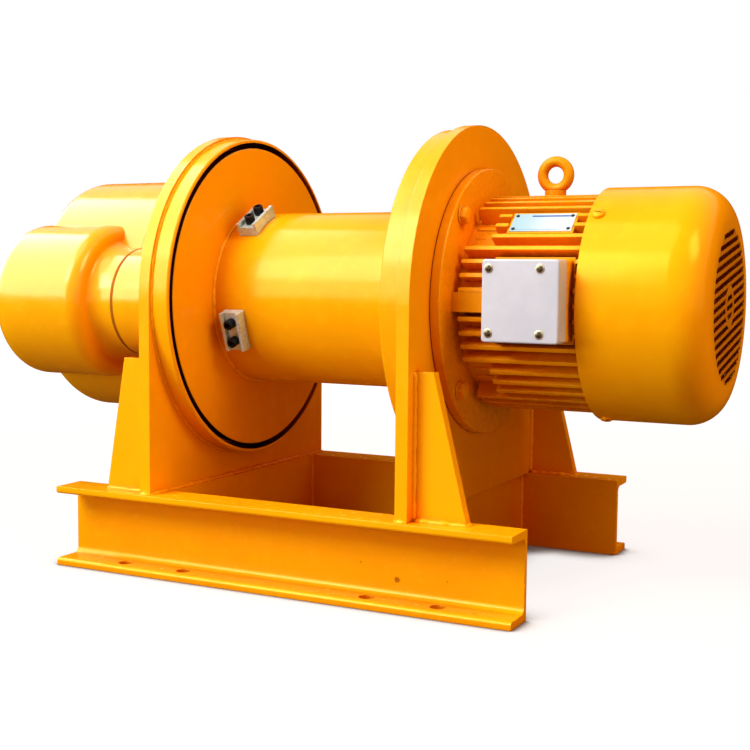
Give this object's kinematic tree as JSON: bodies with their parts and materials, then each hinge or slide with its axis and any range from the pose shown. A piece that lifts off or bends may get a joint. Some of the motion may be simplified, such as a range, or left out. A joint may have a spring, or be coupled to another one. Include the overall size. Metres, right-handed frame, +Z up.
{
  "type": "electric winch",
  "caption": "Floor-mounted electric winch: flanged rope drum between two support plates on channel rails, with a finned flange motor at one end and a lobed gear case at the other.",
  "frame": {"origin": "centre of the base bolt pattern, on the surface that the rails stand on", "axes": "+X along the drum axis towards the motor, +Z up, the front (terminal box and gear case lobe) towards -Y"},
  "size_m": [0.714, 0.3619, 0.44],
  "materials": {
    "yellow_paint": "glossy yellow-orange enamel",
    "machined_steel": "machined and oiled",
    "bearing_steel": "ground and polished",
    "cast_iron": "cast with machined faces",
    "zinc_steel": "dull zinc plate",
    "black_steel": "black oxide",
    "lamination_steel": "stacked sheet",
    "copper_wire": "varnished copper",
    "grey_paint": "pale grey semi-gloss paint",
    "plate_aluminium": "bright blank sheet",
    "black_plastic": "moulded",
    "seal_rubber": "smooth"
  },
  "bodies": {
    "frame": {"front_rail": "yellow_paint", "rear_rail": "yellow_paint", "cross_ties": "yellow_paint", "left_support_plate": "yellow_paint", "right_support_plate": "yellow_paint", "shroud_rings": "yellow_paint", "left_gussets": "yellow_paint", "right_gussets": "yellow_paint", "bearing_housings": "cast_iron", "drum_bearing_outer_races": "bearing_steel", "drum_oil_seal": "seal_rubber", "shaft_bearings": "bearing_steel", "gear_case": "yellow_paint", "gear_case_base": "yellow_paint", "gear_case_bolts": "zinc_steel", "gear_case_cover": "yellow_paint", "gear_case_cover_bolts": "zinc_steel", "oil_plugs": "zinc_steel", "ring_gear": "machined_steel", "motor_flange": "yellow_paint", "motor_flange_bolts": "yellow_paint", "motor_frame": "yellow_paint", "motor_rear_bracket": "yellow_paint", "stator_core": "lamination_steel", "stator_windings": "copper_wire", "brake_magnet": "cast_iron", "fan_cowl": "yellow_paint", "fan_cowl_screws": "yellow_paint", "terminal_box": "yellow_paint", "terminal_box_cover": "grey_paint", "terminal_cover_screws": "zinc_steel", "terminal_block": "black_plastic", "nameplate": "plate_aluminium", "eye_bolt": "yellow_paint"},
    "drum": {"drum_barrel": "yellow_paint", "left_drum_flange": "yellow_paint", "right_drum_flange": "yellow_paint", "left_drum_hub": "machined_steel", "right_drum_hub": "machined_steel", "rope_clamps": "zinc_steel", "rope_clamp_screws": "black_steel", "drum_bearing_inner_races": "bearing_steel", "drum_bearing_balls": "bearing_steel", "planet_carrier": "machined_steel", "planet_pins": "machined_steel"},
    "input_line": {"motor_shaft": "machined_steel", "rotor": "lamination_steel", "shaft_coupling": "machined_steel", "input_shaft": "machined_steel", "input_pinion": "machined_steel", "cooling_fan": "black_plastic", "brake_disc": "cast_iron"},
    "layshaft": {"layshaft": "machined_steel", "layshaft_gear": "machined_steel"},
    "bull_gear": {"bull_gear": "machined_steel"},
    "planet_1": {"planet_gear_1": "machined_steel"},
    "planet_2": {"planet_gear_2": "machined_steel"},
    "planet_3": {"planet_gear_3": "machined_steel"},
    "brake_armature": {"brake_armature": "machined_steel"}
  },
  "joints": [
    {"name": "drum_spin", "type": "hinge", "parent": "frame", "child": "drum", "pos_m": [0, 0, 0.27], "axis": [1, 0, 0], "continuous": true},
    {"name": "input_spin", "type": "hinge", "parent": "frame", "child": "input_line", "pos_m": [0, 0, 0.27], "axis": [1, 0, 0], "continuous": true},
    {"name": "layshaft_spin", "type": "hinge", "parent": "frame", "child": "layshaft", "pos_m": [0, -0.10793, 0.266], "axis": [1, 0, 0], "continuous": true},
    {"name": "bull_spin", "type": "hinge", "parent": "frame", "child": "bull_gear", "pos_m": [0, 0, 0.27], "axis": [1, 0, 0], "continuous": true},
    {"name": "planet_1_spin", "type": "hinge", "parent": "drum", "child": "planet_1", "pos_m": [0, 0, 0.32062], "axis": [1, 0, 0], "continuous": true},
    {"name": "planet_2_spin", "type": "hinge", "parent": "drum", "child": "planet_2", "pos_m": [0, -0.04384, 0.24469], "axis": [1, 0, 0], "continuous": true},
    {"name": "planet_3_spin", "type": "hinge", "parent": "drum", "child": "planet_3", "pos_m": [0, 0.04384, 0.24469], "axis": [1, 0, 0], "continuous": true},
    {"name": "brake_release", "type": "slide", "parent": "frame", "child": "brake_armature", "axis": [1, 0, 0], "range_m": [0, 0.0005], "stiffness_N_per_m": 3000}
  ],
  "couplings": [
    {"joint": "input_spin", "follows": "drum_spin", "ratio": 25.455},
    {"joint": "layshaft_spin", "follows": "drum_spin", "ratio": -17.5},
    {"joint": "bull_spin", "follows": "drum_spin", "ratio": 5},
    {"joint": "planet_1_spin", "follows": "drum_spin", "ratio": -2.6667},
    {"joint": "planet_2_spin", "follows": "drum_spin", "ratio": -2.6667},
    {"joint": "planet_3_spin", "follows": "drum_spin", "ratio": -2.6667}
  ]
}
